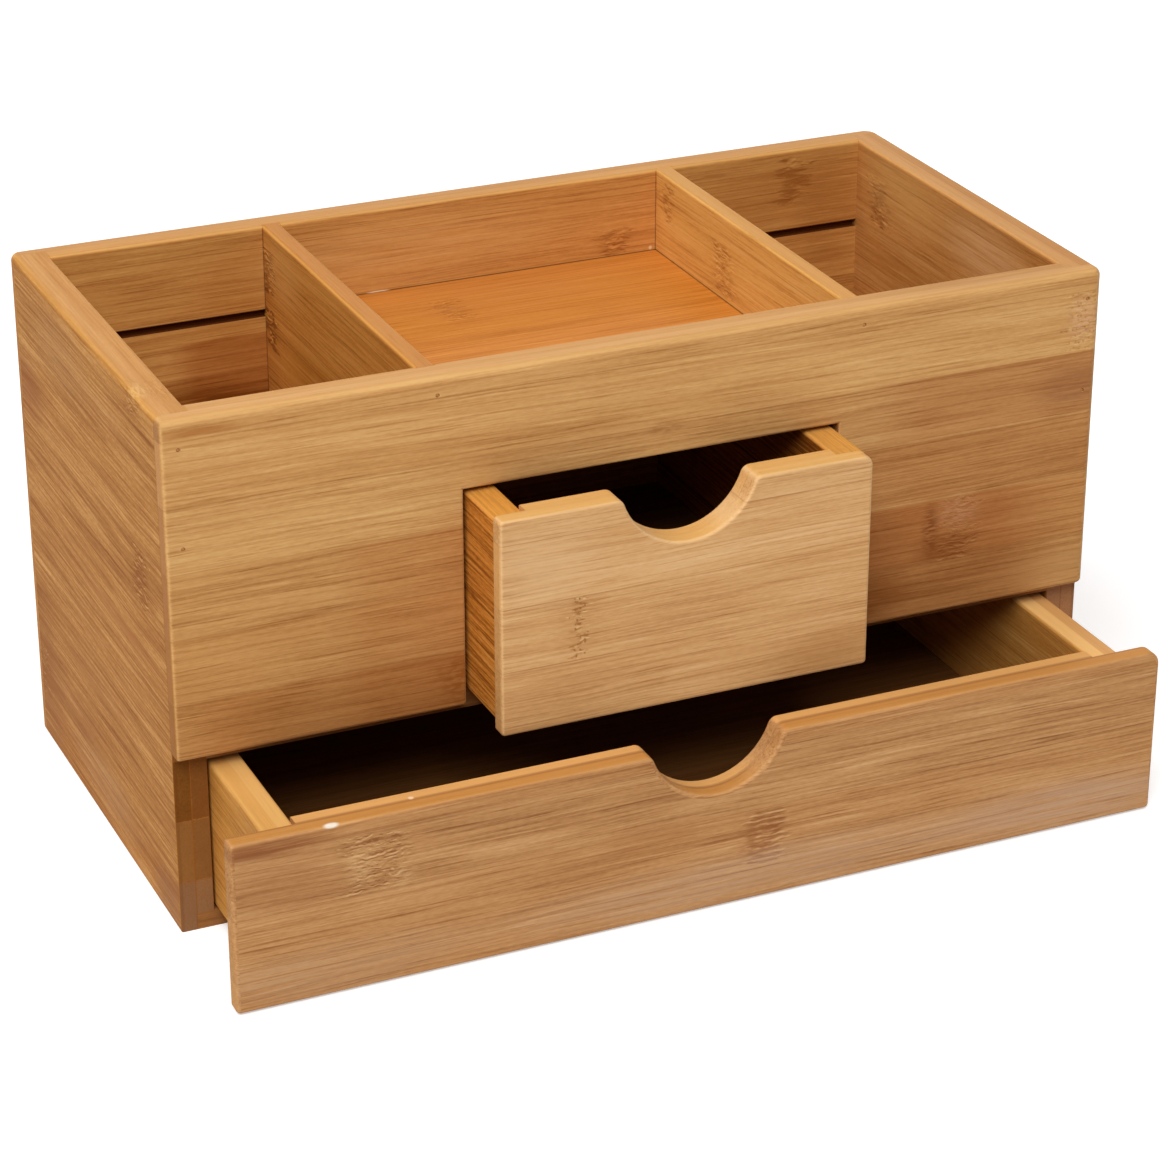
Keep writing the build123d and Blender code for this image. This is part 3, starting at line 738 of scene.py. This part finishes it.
# %% Nodes that make the brads
def brad_nodes():
    """A node group that turns points into brads; its inputs are the brad's sizes and its finish."""
    tree = bpy.data.node_groups.new("wire_brads", "GeometryNodeTree")
    tree.is_modifier = True
    tree.interface.new_socket("Points", in_out="INPUT", socket_type="NodeSocketGeometry")
    for size in ("Diameter", "Length", "Crown", "Foot"):
        tree.interface.new_socket(size, in_out="INPUT", socket_type="NodeSocketFloat")
    tree.interface.new_socket("Finish", in_out="INPUT", socket_type="NodeSocketMaterial")
    tree.interface.new_socket("Brads", in_out="OUTPUT", socket_type="NodeSocketGeometry")
    wire = Wire(tree)
    points, diameter, length, crown, foot, finish = wire.node(
        "NodeGroupInput", out=("Points", "Diameter", "Length", "Crown", "Foot", "Finish"))

    # A cylinder whose caps have rings: the upper cap is pushed into a crown, the lower one into a point
    blank = wire.node("GeometryNodeMeshCylinder", {"fill_type": "TRIANGLE_FAN"}, {
        "Vertices": 20, "Side Segments": 2, "Fill Segments": 4,
        "Radius": diameter * 0.5, "Depth": length}, out="Mesh")
    place = wire.node("GeometryNodeInputPosition")
    x, y, z = place.parts()
    share = wire.vector(x, y, 0.0).length() / (diameter * 0.5)
    upper = z.math("GREATER_THAN", z, length * 0.25)
    lower = z.math("LESS_THAN", z, length * -0.25)
    height = z - length * 0.5 - upper * share * share * crown + lower * share * foot
    one_brad = wire.node("GeometryNodeSetPosition", None, {
        "Geometry": blank, "Position": wire.vector(x, y, height)})

    way_out = wire.node("GeometryNodeInputNamedAttribute", {"data_type": "FLOAT_VECTOR"}, {"Name": "way_out"})
    turned = wire.node("FunctionNodeAlignRotationToVector", {"axis": "Z"}, {"Vector": way_out})
    placed = wire.node("GeometryNodeInstanceOnPoints", None, {
        "Points": points, "Instance": one_brad, "Rotation": turned})
    real = wire.node("GeometryNodeRealizeInstances", None, {"Geometry": placed})
    finished = wire.node("GeometryNodeSetMaterial", None, {"Geometry": real, "Material": finish})
    wire.node("NodeGroupOutput", None, {"Brads": finished})
    return tree


# %% Steel of the brads
def brad_steel():
    """Steel wire that is dulled by lacquer and wood dust, so that its heads hardly show."""
    material, wire = blank_material("lacquered_steel")
    place = wire.node("ShaderNodeTexCoord", out="Object")
    mottle = wire.node("ShaderNodeTexNoise", None, {"Vector": place, "Scale": 2000.0, "Detail": 3.0})
    colour = wire.mix(mottle.between(0.35, 0.65), paint("#A87040"), paint("#C48E56"))
    normal = wire.node("ShaderNodeBump", None, {"Strength": 0.4, "Distance": 0.00005, "Height": mottle})
    surface = wire.node("ShaderNodeBsdfPrincipled", None, {
        "Base Color": colour, "Metallic": 0.1, "Roughness": 0.45 + mottle * 0.2, "Normal": normal,
        "Specular IOR Level": SHEEN})
    wire.node("ShaderNodeOutputMaterial", None, {"Surface": surface})
    return material


# %% Drive the brads in
BRAD_TREE = brad_nodes()
BRAD_STEEL = brad_steel()
BRAD_DIAMETER = 1.2
BRAD_SUNK = 0.25
BRAD_CROWN = 0.1
BRAD_FOOT = 2.0
BOX_BRAD_LENGTH = 22.0
DRAWER_BRAD_LENGTH = 20.0
HEAD_INSET = Vector((0.0, BRAD_DIAMETER / 2, BRAD_DIAMETER / 2)) * MM


def drive(name, heads, length, body, replaced):
    """Brads with their crowns at heads, which are (place in mm, way out of the wood)."""
    mesh = bpy.data.meshes.new(name)
    mesh.from_pydata([Vector(place) * MM for place, way in heads], [], [])
    mesh.attributes.new("way_out", "FLOAT_VECTOR", "POINT")
    mesh.attributes["way_out"].data.foreach_set("vector", [part for place, way in heads for part in way])
    piece = bpy.data.objects.new(name, mesh)
    bpy.context.scene.collection.objects.link(piece)
    modifier = piece.modifiers.new("brads", "NODES")
    modifier.node_group = BRAD_TREE
    wanted = {"Diameter": BRAD_DIAMETER * MM, "Length": length * MM, "Crown": BRAD_CROWN * MM,
              "Foot": BRAD_FOOT * MM, "Finish": BRAD_STEEL}
    for socket in BRAD_TREE.interface.items_tree:
        if socket.in_out == "INPUT" and socket.name in wanted:
            modifier[socket.identifier] = wanted[socket.name]
    graph = bpy.context.evaluated_depsgraph_get()
    solid = bpy.data.meshes.new_from_object(piece.evaluated_get(graph))
    piece.modifiers.remove(modifier)
    piece.data = solid
    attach(piece, body)
    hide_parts(*replaced)
    print(name, "brads:", len(heads), "triangles:", sum(len(face.vertices) - 2 for face in solid.polygons))


SIDE_BRAD_X = 144.8
SIDE_BRAD_HEIGHTS = (155.0, 125.0)
DIVIDER_BRAD_X = 68.0
DIVIDER_BRAD_HEIGHT = 158.5
FACE_Y = 75.0
box_heads = []
for face in (-1, 1):
    head_y = face * (FACE_Y - BRAD_SUNK)
    for hand in (-1, 1):
        for height in SIDE_BRAD_HEIGHTS:
            box_heads.append(((hand * SIDE_BRAD_X, head_y, height), (0, face, 0)))
        box_heads.append(((hand * DIVIDER_BRAD_X, head_y, DIVIDER_BRAD_HEIGHT), (0, face, 0)))
drive("box_wire_brads", box_heads, BOX_BRAD_LENGTH, "box", ("front_brads", "back_brads"))

for drawer in ("large_drawer", "small_drawer"):
    low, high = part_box(drawer + "_brads")
    low, high = (low + HEAD_INSET) / MM, (high - HEAD_INSET) / MM
    drawer_heads = [((x, low.y, z), (hand, 0, 0))
                    for hand, x in ((-1, low.x), (1, high.x))
                    for z in (low.z, high.z)]
    drive(drawer + "_wire_brads", drawer_heads, DRAWER_BRAD_LENGTH, drawer, (drawer + "_brads",))


# %% [markdown]
# ## Floor and light
# The box stands on a white floor in a white room, under three softboxes. The floor is matt, so it takes
# a soft shadow, and glows a little for the camera alone, more so far away, so that it fades into the
# white behind it. The room looks white too, but lights the box only dimly.

# %% What the camera sees
WHITE = (1.0, 1.0, 1.0, 1.0)


def seen_straight(wire):
    """One for rays from the camera, off mirror-like surfaces and through clear ones."""
    camera_ray, glossy_ray, clear_ray = wire.node(
        "ShaderNodeLightPath", out=("Is Camera Ray", "Is Glossy Ray", "Is Transmission Ray"))
    return camera_ray.greatest(glossy_ray, clear_ray)


# %% Floor
FLOOR_REACH = 6.0
FLOOR_GREY = (0.8, 0.8, 0.8, 1.0)
GLOW_NEAR = 0.4
GLOW_FAR = 1.0
GLOW_GROWS = (0.5, 2.0)

floor_mesh = bpy.data.meshes.new("floor")
sheet = bmesh.new()
bmesh.ops.create_grid(sheet, x_segments=1, y_segments=1, size=FLOOR_REACH)
sheet.to_mesh(floor_mesh)
sheet.free()
floor = bpy.data.objects.new("floor", floor_mesh)
bpy.context.scene.collection.objects.link(floor)
floor_paint, wire = blank_material("floor_paint")
far = wire.node("ShaderNodeTexCoord", out="Object").length()
strength = seen_straight(wire) * far.between(*GLOW_GROWS, GLOW_NEAR, GLOW_FAR)
glow = wire.node("ShaderNodeEmission", None, {"Color": WHITE, "Strength": strength})
matt = wire.node("ShaderNodeBsdfDiffuse", None, {"Color": FLOOR_GREY})
both = wire.node("ShaderNodeAddShader", None, {0: matt, 1: glow})
wire.node("ShaderNodeOutputMaterial", None, {"Surface": both})
floor.data.materials.append(floor_paint)

# %% Room
ROOM_LIGHT = 0.2

world = bpy.data.worlds.new("studio")
bpy.context.scene.world = world
world.use_nodes = True
world.node_tree.nodes.clear()
wire = Wire(world.node_tree)
room = wire.node("ShaderNodeBackground", None, {
    "Color": WHITE, "Strength": seen_straight(wire) * (1 - ROOM_LIGHT) + ROOM_LIGHT})
wire.node("ShaderNodeOutputWorld", None, {"Surface": room})


# %% Softboxes
LIT_PLACE = Vector((0.0, 0.0, 0.08))
SOFTBOX_SIZE = 1.2


def softbox(name, place, power):
    """A square lamp that faces the middle of the box."""
    lamp = bpy.data.lights.new(name, "AREA")
    lamp.shape = "SQUARE"
    lamp.size = SOFTBOX_SIZE
    lamp.energy = power
    body = bpy.data.objects.new(name, lamp)
    body.location = place
    body.rotation_euler = (Vector(place) - LIT_PLACE).to_track_quat("Z", "Y").to_euler()
    bpy.context.scene.collection.objects.link(body)


softbox("key_softbox", (-0.6, -1.25, 1.75), 36.0)
softbox("left_softbox", (-1.15, 0.1, 1.95), 18.0)
softbox("back_softbox", (0.7, 1.6, 1.2), 14.0)
